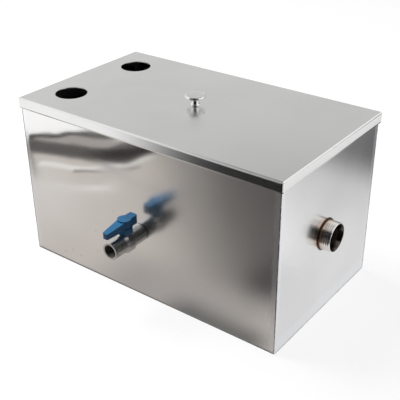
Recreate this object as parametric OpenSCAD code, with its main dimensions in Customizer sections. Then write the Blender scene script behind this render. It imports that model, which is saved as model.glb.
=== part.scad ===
// Counter-top grease trap: a folded stainless tank with a lift-off lid, two inlet holes in the lid,
// a threaded outlet in the right end, and a small ball valve in the front wall that draws off grease.
// X runs along the tank, Y to the back, Z up. The origin is the middle of the tank's floor, outside.

/* [Tank] */
// Outside length of the tank
tank_l = 350; // [320:5:600]
// Outside depth of the tank, front to back
tank_d = 200; // [180:5:350]
// Height of the tank up to its rim
tank_h = 200; // [190:5:350]
// Thickness of the tank's sheet
sheet_t = 1; // [0.8:0.1:1.5]
// Outside radius of the two long bends at the bottom
bend_r = 2; // [2:0.5:8]
// Outside radius of the bend at the rim
rim_r = 2; // [1.6:0.2:3]
// Width of the rim, folded inward
rim_w = 10; // [8:1:16]
// Root gap in the welded seams
seam_gap = 0.1; // [0.05:0.05:0.2]

/* [Lid] */
// Thickness of the lid's sheet
lid_t = 1; // [0.8:0.1:1.5]
// Height of the lid, with its folded skirt
skirt_h = 12; // [9:1:25]
// Play between the skirt and the tank's walls
lid_play = 1.5; // [1:0.1:3]
// Outside radius of the bend round the lid's top
lid_bend_r = 2; // [1.6:0.1:3]
// Outside radius of the lid's upright corners
lid_corner_r = 2.5; // [1.6:0.1:4]
// Thickness of the seal between the rim and the lid
seal_t = 2; // [1:0.5:4]
// Width of the seal
seal_w = 7; // [4:0.5:8]
// Diameter of the two inlet holes
inlet_d = 37; // [25:1:50]
// Distance from the tank's left end to the middle of the inlet holes
inlet_inset = 38; // [35:1:60]
// Distance between the middles of the two inlet holes
inlet_spacing = 113; // [80:1:120]

/* [Knob] */
// Diameter of the knob's disc
knob_d = 23.5; // [18:0.5:40]
// Height of the knob above the lid
knob_h = 11.5; // [9:0.5:25]
// Thickness of the knob's disc
knob_disc_t = 3.4; // [2:0.2:5]
// Diameter of the knob's waist
knob_waist_d = 8; // [7:0.5:14]
// Diameter of the knob's foot
knob_foot_d = 10.5; // [10:0.5:17]
// Height of the foot's straight edge
knob_foot_t = 0.8; // [0.5:0.1:2]
// Thread diameter of the screw that holds the knob
knob_screw_d = 4; // [3:0.5:6]
// Depth of the knob's threaded hole
knob_hole_depth = 7; // [5:0.5:8]
// Diameter of the washer below the lid
knob_washer_d = 14; // [11:0.5:20]
// Thickness of the washer below the lid
knob_washer_t = 1; // [0.8:0.1:2]

/* [Outlet] */
// Outside diameter of the outlet's thread
outlet_d = 33.2; // [20:0.1:50]
// Bore of the outlet
outlet_bore = 29.4; // [14:0.1:44]
// Length of the outlet outside the right end
outlet_len = 13.5; // [10:0.5:40]
// Length of the outlet inside the right end
outlet_stub = 6; // [3:0.5:15]
// Height of the outlet's axis above the floor
outlet_z = 100; // [60:1:140]
// Distance of the outlet's axis in front of the middle of the right end
outlet_offset = 5; // [-20:1:20]
// Leg of the weld round the outlet
outlet_weld = 1.6; // [1:0.1:3]

/* [Draw-off valve] */
// Place of the valve along the front wall, from the middle
valve_x = 0; // [-30:1:60]
// Height of the valve's axis above the floor
valve_z = 86.5; // [60:0.5:130]
// Gap between the front wall and the valve
valve_gap = 0.8; // [0.5:0.1:3]
// Length of the valve's body
valve_len = 49.5; // [46:0.5:70]
// Diameter of the valve's two barrels
barrel_d = 20; // [19:0.5:30]
// Diameter of the bulge round the ball
bulge_d = 24; // [21:0.5:36]
// Length of the bulge
bulge_len = 14.5; // [12:0.5:24]
// Length of the cone at each end of the bulge
bulge_cone = 3.5; // [1:0.5:4]
// Bore of the valve's threaded ends
thread_d = 15; // [14.8:0.1:16]
// Depth of the valve's threaded ends
thread_len = 11; // [8:0.5:12]
// Diameter of the ball
ball_d = 14; // [12:0.2:14.4]
// Bore of the ball and the waterway
port_d = 8.4; // [6:0.2:9]
// Play round the ball and its seats
ball_play = 0.1; // [0.05:0.05:0.2]
// Thickness of the ball's seats
seat_t = 3.2; // [2.5:0.1:3.6]
// Thickness of the ring that holds the ball in
insert_t = 3.5; // [2.5:0.1:5]
// Bore of the nipple that carries the valve
nipple_bore = 11; // [8:0.5:12]
// Length of the nipple inside the tank
nipple_stub = 5; // [2:0.5:12]
// Width of the nipple's shoulder on the front wall
nipple_shoulder = 0.8; // [0.5:0.1:1]

/* [Stem and lever] */
// Diameter of the stem
stem_d = 6; // [5:0.5:7]
// Play between the stem and the body
stem_play = 0.1; // [0.05:0.05:0.2]
// Width across the flats at the top of the stem
stem_flats = 4.4; // [3.6:0.1:4.8]
// Diameter of the neck round the stem
bonnet_d = 12; // [10:0.5:13]
// Height of that neck above the bulge
bonnet_h = 4; // [3:0.5:8]
// Length of the lever's outer arm, from the stem
arm_long = 30.5; // [24:0.5:60]
// Length of the lever's inner arm, from the stem
arm_short = 15.5; // [12:0.5:22]
// Width of the outer arm where it leaves the hub
arm_root_w = 12; // [8:0.5:14]
// Width of the outer arm at its tip
arm_tip_w = 7; // [5:0.5:12]
// Width of the inner arm
arm_short_w = 10; // [6:0.5:12]
// Radius of the arms' rounded ends
arm_end_r = 2; // [1:0.1:2.4]
// Wall thickness of the hollow arms
arm_wall = 1.6; // [1.2:0.1:2]
// Diameter of the lever's hub
hub_d = 15; // [14:0.5:20]
// Wall of the hub round the screw's recess
hub_wall = 4; // [3:0.5:5]
// Diameter of the skirt below the hub
hub_skirt_d = 17; // [15.5:0.5:22]
// Drop of the outer arm's tip below the hub's top
tip_drop = 4; // [1:0.5:5]
// Height of the arms' sides at the hub
arm_h = 10; // [8:0.5:11]
// Thickness of the hub round the stem's flats
hub_web = 7; // [5:0.5:9]
// Depth of the screw's recess in the hub
recess_depth = 4.5; // [4:0.5:6]
// Thread diameter of the lever's screw
lever_screw_d = 2.8; // [2:0.2:3]

/* [Baffles] */
// Distance from the tank's left end to the inlet baffle
inlet_bay = 87; // [80:1:120]
// Distance from the tank's right end to the outlet baffle
outlet_bay = 55; // [30:1:100]
// Clear height below the baffles
baffle_gap = 40; // [25:1:50]
// Distance of the baffles' tops below the rim
baffle_drop = 35; // [25:1:45]
// Thickness of the baffles
baffle_t = 1; // [0.8:0.1:2]
// Diameter of the finger hole in each baffle
finger_d = 24; // [18:1:30]
// Distance of the finger hole's middle below the baffle's top
finger_drop = 20; // [17:1:30]
// Depth of the guide channels
guide_w = 10; // [6:0.5:16]
// Thickness of the guide channels
guide_t = 1; // [0.8:0.1:1.5]
// Play of the baffles in their guides
guide_play = 0.4; // [0.3:0.1:0.8]

/* [Strainer basket] */
// Height of the rails that carry the basket
rail_z = 150; // [120:1:155]
// Width of the rails
rail_w = 12; // [10:0.5:16]
// Height of the rails' legs on the wall
rail_leg = 12; // [8:0.5:20]
// Thickness of the rails
rail_t = 1; // [0.8:0.1:2]
// Depth of the basket
basket_depth = 95; // [70:1:105]
// Thickness of the basket's sheet
basket_t = 1; // [0.8:0.1:1.5]
// Play between the basket and what stands beside it
basket_play = 3; // [2:0.5:6]
// Play between the basket's ends and its rails
rail_play = 1; // [0.5:0.1:2]
// Diameter of the strainer holes
strain_d = 7; // [4:0.5:9]
// Distance between the strainer holes
strain_pitch = 15; // [12:0.5:24]
// Plain edge round the strainer holes
strain_edge = 5; // [4:0.5:10]
// Plain band at the basket's top
basket_band = 20; // [16:1:30]
// Wire diameter of the basket's handle
wire_d = 3; // [2:0.5:4]
// Distance of the handle's pivots below the basket's rim
pivot_drop = 9; // [7:0.5:12]
// Play of the handle's wire in the basket's holes
pivot_play = 0.3; // [0.2:0.1:0.6]
// Bend radius of the handle's wire, to the middle of the wire
wire_bend_r = 5; // [4:0.5:10]
// Length of the wire's hooked ends beyond the basket
hook_len = 3; // [2:0.5:5]
// Play below the handle where it lies on the rim
rest_play = 0.3; // [0.2:0.1:0.6]

/* [Hidden] */
$fn = 96;
// How far a cut runs past the face it leaves
over = 1;
// Play in screwed joints
thread_play = 0.1;
steel = [0.78, 0.78, 0.78];
polished = [0.86, 0.86, 0.87];
valve_steel = [0.62, 0.62, 0.62];
handle_blue = [0.16, 0.42, 0.62];
rubber = [0.12, 0.12, 0.12];
plastic_white = [0.93, 0.93, 0.9];

inner_d = tank_d - 2 * sheet_t;
lid_z = tank_h + seal_t;
lid_l = tank_l + 2 * (lid_play + lid_t);
lid_d = tank_d + 2 * (lid_play + lid_t);
inlet_x = inlet_inset - tank_l / 2;
knob_screw_head_d = 1.8 * knob_screw_d;
knob_screw_head_h = 0.6 * knob_screw_d;

valve_mid = valve_gap + valve_len / 2;
stem_y = -tank_d / 2 - valve_mid;
ball_r = ball_d / 2;
port_r = port_d / 2;
chamber_r = ball_r + 3 * ball_play;
seat_back = ball_r + 0.85;
chamber_out = valve_gap + valve_len - thread_len;
nipple_r = thread_d / 2 - thread_play;
spigot_r = nipple_r - nipple_shoulder;
nipple_reach = valve_gap + thread_len - 1;
bonnet_top = bulge_d / 2 + bonnet_h;
web_z = bonnet_top + 1;
recess_z = web_z + hub_web;
hub_top = recess_z + recess_depth;
arm_top = hub_top - 0.5;
arm_under = arm_top - arm_h;
skirt_z = bulge_d / 2 + 0.5;
stem_top = recess_z - 0.5;
recess_d = hub_d - 2 * hub_wall;
slot_z = ball_r - 1.7;
tang_t = 2;
tang_w = 5;
ring_section_d = 1;
ring_z = bulge_d / 2 + 1;
lever_screw_head_d = recess_d - 1.5;
lever_screw_head_h = 2;
lever_screw_len = 8;
cap_t = 1.5;

inlet_baffle_x = inlet_bay - tank_l / 2;
outlet_baffle_x = tank_l / 2 - outlet_bay;
baffle_top = tank_h - baffle_drop;
baffle_w = inner_d - 2 * (guide_t + guide_play);
guide_slot = baffle_t + 2 * guide_play;
guide_outer = guide_slot + 2 * guide_t;

basket_w = inlet_bay - sheet_t - guide_outer / 2 - 2 * basket_play;
basket_x = inlet_baffle_x - guide_outer / 2 - basket_play - basket_w / 2;
basket_l = inner_d - 2 * (rail_w + rail_play);
basket_rim_z = rail_z + basket_t;
basket_floor_z = basket_rim_z - basket_depth;
flange_w = rail_w + rail_play / 2;
wire_r = wire_d / 2;
pivot_z = basket_rim_z - pivot_drop;
rest_rise = pivot_drop + wire_r + rest_play;
rest_reach = basket_w / 2 - basket_t / 2;
handle_len = norm([rest_rise, rest_reach]);
rest_angle = atan2(rest_rise, rest_reach);
hook_r = wire_d;
handle_half = basket_l / 2 - basket_t - hook_r - rest_play;
hook_half = basket_l / 2 + hook_len;

// Turns a drawing so that its x runs along Y, its y up and its thickness along X
module across() {
    rotate([90, 0, 90])
        children();
}

// Turns a drawing so that its y runs up and its thickness along -Y
module facing_front() {
    rotate([90, 0, 0])
        children();
}

// Upright outline that stands on y = 0, with one radius at the bottom and one at the top
module bent_outline(w, h, low_r, top_r) {
    translate([-w / 2, low_r])
        square([w, h - low_r - top_r]);
    for (side = [-1, 1]) {
        translate([side * (w / 2 - low_r), low_r])
            circle(low_r);
        translate([side * (w / 2 - top_r), h - top_r])
            circle(top_r);
    }
    translate([low_r - w / 2, 0])
        square([w - 2 * low_r, low_r]);
    translate([top_r - w / 2, h - top_r])
        square([w - 2 * top_r, top_r]);
}

// Rectangle round the origin with rounded corners
module round_rectangle(l, w, r) {
    square([l - 2 * r, w], center = true);
    square([l, w - 2 * r], center = true);
    for (x = [-1, 1], y = [-1, 1])
        translate([x * (l / 2 - r), y * (w / 2 - r)])
            circle(r);
}

// Round bar from z0 to z1
module bar(r, z0, z1) {
    translate([0, 0, z0])
        cylinder(r = r, h = z1 - z0);
}

// Ring from z0 to z1
module ring(outer_r, inner_r, z0, z1) {
    difference() {
        bar(outer_r, z0, z1);
        bar(inner_r, z0 - over, z1 + over);
    }
}

// Fillet weld round a pipe that leaves a wall at z = 0
module weld(pipe_r, leg) {
    rotate_extrude()
        polygon([[pipe_r - leg / 2, 0], [pipe_r + leg, 0], [pipe_r, leg], [pipe_r - leg / 2, leg]]);
}

// Places children on the valve's axis, with z running out from the front wall
module on_valve_axis() {
    translate([valve_x, -tank_d / 2, valve_z])
        facing_front()
            children();
}

// Places children on the stem, with z measured from the valve's axis
module on_stem() {
    translate([valve_x, stem_y, valve_z])
        children();
}

// Places children on the outlet's axis, with z running out from the right end
module on_outlet() {
    translate([tank_l / 2, -outlet_offset, outlet_z])
        rotate([0, 90, 0])
            children();
}

// Front wall, floor and back wall, folded from one sheet with a rim turned inward
module tank_wrap() {
    color(steel)
        difference() {
            across()
                linear_extrude(tank_l, center = true)
                    difference() {
                        bent_outline(tank_d, tank_h, bend_r, rim_r);
                        translate([0, sheet_t])
                            bent_outline(inner_d, tank_h - 2 * sheet_t, bend_r - sheet_t, rim_r - sheet_t);
                        translate([rim_w - tank_d / 2, tank_h / 2])
                            square([tank_d - 2 * rim_w, tank_h]);
                    }
            on_valve_axis()
                bar(spigot_r + seam_gap, -sheet_t - over, over);
        }
}

// End panel that closes the folded sheet, with its own stretch of rim; side is -1 left or 1 right
module end_panel(side) {
    panel_h = tank_h - 2 * (sheet_t + seam_gap);
    rim_l = tank_d - 2 * (rim_w + seam_gap);
    translate([side * (tank_l - sheet_t) / 2, 0, sheet_t + seam_gap])
        across()
            linear_extrude(sheet_t, center = true)
                bent_outline(inner_d - 2 * seam_gap, panel_h, bend_r - sheet_t - seam_gap, rim_r - sheet_t);
    translate([side * (tank_l - sheet_t) / 2, 0, tank_h - rim_r])
        cube([sheet_t, rim_l, 2 * (rim_r - sheet_t)], center = true);
    translate([side * (tank_l - rim_w) / 2, 0, tank_h - sheet_t / 2])
        cube([rim_w, rim_l, sheet_t], center = true);
}

module left_end() {
    color(steel)
        end_panel(-1);
}

module right_end() {
    color(steel)
        difference() {
            end_panel(1);
            on_outlet()
                bar(outlet_d / 2 + seam_gap, -sheet_t - over, over);
        }
}

// Threaded pipe stub, welded into the right end
module outlet_nipple() {
    edge = 0.6;
    color(steel)
        on_outlet()
            difference() {
                union() {
                    bar(outlet_d / 2, -sheet_t - outlet_stub, outlet_len - edge);
                    translate([0, 0, outlet_len - edge])
                        cylinder(r1 = outlet_d / 2, r2 = outlet_d / 2 - edge, h = edge);
                    weld(outlet_d / 2, outlet_weld);
                }
                bar(outlet_bore / 2, -sheet_t - outlet_stub - over, outlet_len + over);
            }
}

// Guide channel with a closed foot, welded to the front wall (side -1) or the back wall (side 1)
module guide(x, side) {
    wall_y = inner_d / 2;
    color(steel)
        translate([x, 0, 0])
            mirror([0, side < 0 ? 1 : 0, 0])
                difference() {
                    translate([-guide_outer / 2, wall_y - guide_w, baffle_gap - guide_t])
                        cube([guide_outer, guide_w, baffle_top - baffle_gap + guide_t]);
                    translate([-guide_slot / 2, wall_y - guide_w - over, baffle_gap])
                        cube([guide_slot, guide_w - guide_t + over, baffle_top - baffle_gap + over]);
                }
}

// Sheet that slides down between two guides, with a finger hole to pull it out by
module baffle(x) {
    color(steel)
        translate([x, 0, baffle_gap])
            difference() {
                across()
                    linear_extrude(baffle_t, center = true)
                        bent_outline(baffle_w, baffle_top - baffle_gap, baffle_t, 2 * baffle_t);
                translate([0, 0, baffle_top - baffle_gap - finger_drop])
                    rotate([0, 90, 0])
                        bar(finger_d / 2, -baffle_t - over, baffle_t + over);
            }
}

// Angle on the front wall (side -1) or the back wall (side 1) that carries the basket's flange
module basket_rail(side) {
    color(steel)
        translate([basket_x - basket_w / 2, side * inner_d / 2, rail_z])
            mirror([0, side > 0 ? 1 : 0, 0]) {
                translate([0, 0, -rail_t])
                    cube([basket_w, rail_w, rail_t]);
                translate([0, 0, -rail_leg])
                    cube([basket_w, rail_t, rail_leg]);
            }
}

// Wall of the basket, standing on y = 0: a grid of holes below a plain band
module strainer_wall(w, h, band) {
    across_n = floor((w - 2 * strain_edge - strain_d) / strain_pitch);
    up_n = floor((h - band - 2 * strain_edge - strain_d) / strain_pitch);
    difference() {
        translate([-w / 2, 0])
            square([w, h]);
        for (i = [0 : across_n], j = [0 : up_n])
            translate([(i - across_n / 2) * strain_pitch, (h - band) / 2 + (j - up_n / 2) * strain_pitch])
                circle(strain_d / 2);
    }
}

// Perforated basket below the inlets, hung from a flange at each end
module strainer_basket() {
    color(polished)
        difference() {
            translate([basket_x, 0, basket_floor_z]) {
                translate([0, -basket_l / 2, 0])
                    linear_extrude(basket_t)
                        strainer_wall(basket_w, basket_l, 0);
                for (side = [-1, 1]) {
                    translate([side * (basket_w - basket_t) / 2, 0, 0])
                        across()
                            linear_extrude(basket_t, center = true)
                                strainer_wall(basket_l, basket_depth, basket_band);
                    translate([0, side * (basket_l - basket_t) / 2, 0])
                        facing_front()
                            linear_extrude(basket_t, center = true)
                                strainer_wall(basket_w, basket_depth, basket_band);
                    translate([0, side * (basket_l + flange_w - basket_t) / 2, basket_depth - basket_t / 2])
                        cube([basket_w, flange_w + basket_t, basket_t], center = true);
                }
            }
            translate([basket_x, 0, pivot_z])
                facing_front()
                    bar(wire_r + pivot_play, -basket_l / 2 - over, basket_l / 2 + over);
        }
}

// Quarter bend of the wire from +x to +y round the origin's corner
module wire_bend(r) {
    rotate_extrude(angle = 90)
        translate([r, 0])
            circle(wire_r);
}

// One half of the handle, drawn flat: hook along x at y = 0, leg along y, half of the crossbar
module handle_half_wire() {
    leg = handle_len - hook_r - wire_bend_r;
    translate([handle_half + hook_r, 0, 0])
        rotate([0, 90, 0])
            cylinder(r = wire_r, h = hook_half - handle_half - hook_r);
    translate([handle_half + hook_r, hook_r, 0])
        rotate([0, 0, 180])
            wire_bend(hook_r);
    translate([handle_half, hook_r, 0])
        rotate([-90, 0, 0])
            cylinder(r = wire_r, h = leg);
    translate([handle_half - wire_bend_r, handle_len - wire_bend_r, 0])
        wire_bend(wire_bend_r);
    translate([0, handle_len, 0])
        rotate([0, 90, 0])
            cylinder(r = wire_r, h = handle_half - wire_bend_r);
}

// Wire handle that swings in the basket's ends and lies on the basket's rim
module basket_handle() {
    color(polished)
        translate([basket_x, 0, pivot_z])
            rotate([0, -rest_angle, 0])
                rotate([0, 0, -90])
                    union() {
                        handle_half_wire();
                        mirror([1, 0, 0])
                            handle_half_wire();
                    }
}

// Block with a rounded top and rounded upright corners, standing on z = 0
module lid_block(l, d, h, top_r, corner_r) {
    intersection() {
        across()
            linear_extrude(l, center = true)
                lid_outline(d, h, top_r);
        facing_front()
            linear_extrude(d, center = true)
                lid_outline(l, h, top_r);
        linear_extrude(h)
            round_rectangle(l, d, corner_r);
    }
}

// Upright outline with a square bottom and rounded top corners
module lid_outline(w, h, top_r) {
    translate([-w / 2, 0])
        square([w, h - top_r]);
    translate([top_r - w / 2, 0])
        square([w - 2 * top_r, h]);
    for (side = [-1, 1])
        translate([side * (w / 2 - top_r), h - top_r])
            circle(top_r);
}

// Folded lid with welded corners and two inlet holes
module lid() {
    skirt_bottom = lid_z + lid_t - skirt_h;
    color(steel)
        difference() {
            translate([0, 0, skirt_bottom])
                lid_block(lid_l, lid_d, skirt_h, lid_bend_r, lid_corner_r);
            translate([0, 0, skirt_bottom - over])
                lid_block(
                    lid_l - 2 * lid_t, lid_d - 2 * lid_t, skirt_h - lid_t + over,
                    lid_bend_r - lid_t, lid_corner_r - lid_t
                );
            for (side = [-1, 1])
                translate([inlet_x, side * inlet_spacing / 2, 0])
                    bar(inlet_d / 2, lid_z - over, lid_z + lid_t + over);
            bar(knob_screw_d / 2 + thread_play, lid_z - over, lid_z + lid_t + over);
        }
}

// Flat rubber frame, glued below the lid and lying on the rim
module lid_seal() {
    outer_l = tank_l - 2 * rim_r + 2 * sheet_t;
    outer_d = tank_d - 2 * rim_r + 2 * sheet_t;
    color(rubber)
        translate([0, 0, tank_h])
            linear_extrude(seal_t)
                difference() {
                    square([outer_l, outer_d], center = true);
                    square([outer_l - 2 * seal_w, outer_d - 2 * seal_w], center = true);
                }
}

// Half section of the knob: a foot, a hollowed waist and a disc with a round edge
module knob_section() {
    disc_under = knob_h - knob_disc_t;
    waist_h = disc_under - knob_foot_t;
    waist_depth = max((knob_foot_d - knob_waist_d) / 2, 0.5);
    groove_r = (waist_h * waist_h / 4 + waist_depth * waist_depth) / (2 * waist_depth);
    difference() {
        union() {
            square([knob_foot_d / 2, knob_h - knob_disc_t / 2]);
            translate([0, disc_under])
                square([(knob_d - knob_disc_t) / 2, knob_disc_t]);
            translate([(knob_d - knob_disc_t) / 2, knob_h - knob_disc_t / 2])
                circle(knob_disc_t / 2);
        }
        intersection() {
            translate([knob_foot_d / 2 - waist_depth + groove_r, knob_foot_t + waist_h / 2])
                circle(groove_r);
            translate([0, knob_foot_t])
                square([knob_foot_d / 2 + over, waist_h]);
        }
    }
}

module lid_knob() {
    color(polished)
        translate([0, 0, lid_z + lid_t])
            difference() {
                rotate_extrude()
                    knob_section();
                bar(knob_screw_d / 2 + thread_play, -over, knob_hole_depth);
            }
}

module knob_washer() {
    color(polished)
        ring(knob_washer_d / 2, knob_screw_d / 2 + thread_play, lid_z - knob_washer_t, lid_z);
}

// Screw that comes up through the washer and the lid into the knob
module knob_screw() {
    head_z = lid_z - knob_washer_t;
    color(polished)
        difference() {
            union() {
                bar(knob_screw_d / 2, head_z - over / 2, lid_z + lid_t + knob_hole_depth - 1);
                bar(knob_screw_head_d / 2, head_z - knob_screw_head_h, head_z);
            }
            for (turn = [0, 90])
                translate([0, 0, head_z - knob_screw_head_h])
                    rotate([0, 0, turn])
                        cube([knob_screw_head_d * 0.6, knob_screw_d * 0.2, knob_screw_head_h], center = true);
        }
}

// Threaded stub that the valve is screwed onto, with a spigot welded into the front wall
module drain_nipple() {
    color(valve_steel)
        on_valve_axis()
            difference() {
                union() {
                    bar(nipple_r, 0, nipple_reach);
                    bar(spigot_r, -sheet_t - nipple_stub, over);
                    translate([0, 0, -sheet_t])
                        mirror([0, 0, 1])
                            weld(spigot_r, outlet_weld);
                }
                bar(nipple_bore / 2, -sheet_t - nipple_stub - over, nipple_reach + over);
            }
}

// Outside of the valve's body: two barrels and the bulge round the ball
module valve_outside() {
    edge = 0.5;
    end = valve_gap + valve_len;
    half = bulge_len / 2;
    rotate_extrude()
        polygon([
            [0, valve_gap], [barrel_d / 2 - edge, valve_gap], [barrel_d / 2, valve_gap + edge],
            [barrel_d / 2, valve_mid - half], [bulge_d / 2, valve_mid - half + bulge_cone],
            [bulge_d / 2, valve_mid + half - bulge_cone], [barrel_d / 2, valve_mid + half],
            [barrel_d / 2, end - edge], [barrel_d / 2 - edge, end], [0, end]
        ]);
}

// Valve body with a threaded hole at each end, a chamber for the ball and a neck for the stem
module valve_body() {
    end = valve_gap + valve_len;
    color(valve_steel)
        difference() {
            union() {
                on_valve_axis()
                    valve_outside();
                on_stem()
                    bar(bonnet_d / 2, ball_r + 1, bonnet_top);
            }
            on_valve_axis() {
                bar(thread_d / 2, valve_gap - over, valve_gap + thread_len);
                bar(port_r, valve_gap, valve_mid);
                bar(chamber_r, valve_mid - seat_back, end - over);
                bar(thread_d / 2, chamber_out, end + over);
            }
            on_stem()
                bar(stem_d / 2 + stem_play, 0, bonnet_top + over);
        }
}

// Seat ring with a face that follows the ball; side is -1 toward the tank or 1 toward the mouth
module seat(side) {
    color(plastic_white)
        on_valve_axis()
            translate([0, 0, valve_mid])
                mirror([0, 0, side < 0 ? 1 : 0])
                    difference() {
                        ring(chamber_r - ball_play, port_r, seat_back - seat_t, seat_back);
                        sphere(ball_r + ball_play / 2);
                    }
}

// Screwed ring that holds the seats and the ball in the body
module ball_retainer() {
    slot = 2;
    color(valve_steel)
        on_valve_axis()
            translate([0, 0, valve_mid + seat_back])
                difference() {
                    ring(chamber_r - ball_play, port_r, 0, insert_t);
                    translate([-chamber_r, -slot / 2, insert_t - slot / 2])
                        cube([2 * chamber_r, slot, slot]);
                }
}

module valve_ball() {
    color(polished)
        on_stem()
            difference() {
                sphere(ball_r);
                facing_front()
                    bar(port_r, -ball_d, ball_d);
                translate([0, 0, slot_z + ball_r / 2])
                    cube([ball_d, tang_t + 2 * ball_play, ball_r], center = true);
            }
}

// Stem with a tang for the ball, a groove for its ring and flats for the lever
module valve_stem() {
    groove_r = stem_d / 2 - ring_section_d + stem_play / 2;
    color(polished)
        on_stem()
            difference() {
                union() {
                    bar(stem_d / 2, ball_r + ball_play, web_z);
                    translate([0, 0, (slot_z + ball_play + ball_r + over) / 2])
                        cube([tang_w, tang_t, ball_r + over - slot_z - ball_play], center = true);
                    intersection() {
                        bar(stem_d / 2, web_z - over, stem_top);
                        translate([0, 0, stem_top / 2])
                            cube([stem_d, stem_flats, stem_top], center = true);
                    }
                }
                ring(stem_d, groove_r, ring_z, ring_z + ring_section_d + ball_play);
                bar(lever_screw_d / 2 + thread_play, recess_z - lever_screw_len - over, stem_top + over);
            }
}

module stem_ring() {
    ring_mid_r = (stem_d - ring_section_d) / 2 + stem_play / 2;
    color(rubber)
        on_stem()
            translate([0, 0, ring_z + (ring_section_d + ball_play) / 2])
                rotate_extrude()
                    translate([ring_mid_r, 0])
                        circle(ring_section_d / 2);
}

// End of an arm: a bar from the stem to reach, with two rounded corners, along +y
module arm_plan(root_w, tip_w, reach, end_r) {
    polygon([
        [-root_w / 2, 0], [root_w / 2, 0],
        [tip_w / 2, reach - end_r], [-tip_w / 2, reach - end_r]
    ]);
    translate([end_r - tip_w / 2, reach - 2 * end_r])
        square([tip_w - 2 * end_r, 2 * end_r]);
    for (side = [-1, 1])
        translate([side * (tip_w / 2 - end_r), reach - end_r])
            circle(end_r);
}

// Both arms seen from above, drawn in by inset; the outer arm points to -y
module lever_plan(inset) {
    end_r = max(arm_end_r - inset, 0.3);
    mirror([0, 1])
        arm_plan(arm_root_w - 2 * inset, arm_tip_w - 2 * inset, arm_long - inset, end_r);
    arm_plan(arm_short_w - 2 * inset, arm_short_w - 2 * inset, arm_short - inset, end_r);
}

// Both arms from the side, lowered by drop; the outer arm slopes down to its tip
module lever_side(drop) {
    top = arm_top - drop;
    across()
        linear_extrude(2 * hub_d, center = true)
            polygon([
                [-arm_long, arm_under - drop], [arm_short, arm_under - drop], [arm_short, top],
                [0, top], [-arm_long, hub_top - tip_drop - drop]
            ]);
}

// Moulded lever: a hub on the stem's flats and two hollow arms
module valve_lever() {
    roof = 2.4;
    color(handle_blue)
        on_stem()
            difference() {
                union() {
                    intersection() {
                        linear_extrude(hub_top)
                            lever_plan(0);
                        lever_side(0);
                    }
                    bar(hub_d / 2, arm_under, hub_top);
                    bar(hub_skirt_d / 2, skirt_z, arm_under + over);
                }
                difference() {
                    intersection() {
                        linear_extrude(hub_top)
                            lever_plan(arm_wall);
                        lever_side(roof);
                    }
                    bar(hub_skirt_d / 2, 0, hub_top);
                }
                bar(bonnet_d / 2 + 0.5, skirt_z - over, web_z);
                intersection() {
                    bar(stem_d / 2 + stem_play, web_z - over, recess_z + over);
                    translate([0, 0, recess_z / 2])
                        cube([2 * stem_d, stem_flats + 2 * stem_play, 2 * recess_z], center = true);
                }
                bar(recess_d / 2, recess_z, hub_top + over);
            }
}

module lever_screw() {
    color(polished)
        on_stem()
            difference() {
                union() {
                    bar(lever_screw_d / 2, recess_z - lever_screw_len, recess_z + over);
                    bar(lever_screw_head_d / 2, recess_z, recess_z + lever_screw_head_h);
                }
                for (turn = [0, 90])
                    translate([0, 0, recess_z + lever_screw_head_h])
                        rotate([0, 0, turn])
                            cube([lever_screw_head_d * 0.6, lever_screw_d * 0.25, lever_screw_head_h], center = true);
            }
}

// Plug that covers the lever's screw
module lever_cap() {
    color(handle_blue)
        on_stem()
            bar(recess_d / 2 - ball_play, hub_top - cap_t, hub_top);
}

tank_wrap();
left_end();
right_end();
outlet_nipple();
guide(inlet_baffle_x, -1);  // inlet_guide_front
guide(inlet_baffle_x, 1);  // inlet_guide_back
guide(outlet_baffle_x, -1);  // outlet_guide_front
guide(outlet_baffle_x, 1);  // outlet_guide_back
baffle(inlet_baffle_x);  // inlet_baffle
baffle(outlet_baffle_x);  // outlet_baffle
basket_rail(-1);  // basket_rail_front
basket_rail(1);  // basket_rail_back
strainer_basket();
basket_handle();
lid();
lid_seal();
lid_knob();
knob_washer();
knob_screw();
drain_nipple();
valve_body();
seat(-1);  // inner_seat
seat(1);  // outer_seat
ball_retainer();
valve_ball();
valve_stem();
stem_ring();
valve_lever();
lever_screw();
lever_cap();
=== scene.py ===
"""Looks of a stainless grease trap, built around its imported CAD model.

X runs along the tank, Y to the back and Z up. The origin is below the middle of the tank, on the floor.
"""

import logging
import math
from dataclasses import dataclass
from enum import Enum
from functools import lru_cache
from typing import Callable, Dict, Iterable, List, Optional, Sequence, Tuple, Union

import bmesh
import bpy
from mathutils import Matrix, Vector, noise


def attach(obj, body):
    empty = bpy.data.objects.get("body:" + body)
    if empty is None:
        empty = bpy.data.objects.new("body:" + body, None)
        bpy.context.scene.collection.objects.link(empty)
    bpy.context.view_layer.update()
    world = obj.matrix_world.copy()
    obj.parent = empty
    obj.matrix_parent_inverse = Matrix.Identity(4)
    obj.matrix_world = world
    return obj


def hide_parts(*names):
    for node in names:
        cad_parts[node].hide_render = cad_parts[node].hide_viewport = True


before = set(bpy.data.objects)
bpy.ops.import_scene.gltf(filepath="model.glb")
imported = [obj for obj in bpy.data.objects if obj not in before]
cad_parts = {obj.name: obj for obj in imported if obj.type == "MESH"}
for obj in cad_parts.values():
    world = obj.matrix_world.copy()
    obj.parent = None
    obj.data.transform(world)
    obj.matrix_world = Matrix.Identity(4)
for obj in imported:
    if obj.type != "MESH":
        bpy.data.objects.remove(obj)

LOG = logging.getLogger("grease_trap")
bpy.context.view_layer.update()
MM = 0.001
NOISE_MEAN = 0.5
SHADE_STEP = (0.3, 0.7)

Number = Union[int, float]
Value = Union["Sock", Number]
Triple = Tuple[float, float, float]
Pair = Tuple[float, float]
Mesh = Tuple[List[Triple], List[Tuple[int, ...]]]


class Axis(Enum):
    """Direction of a frame axis."""

    X = 0
    Y = 1
    Z = 2


class Stand(Enum):
    """How a reflector stands: lying level or upright along X."""

    LEVEL = 0.0
    UPRIGHT = 90.0


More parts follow.
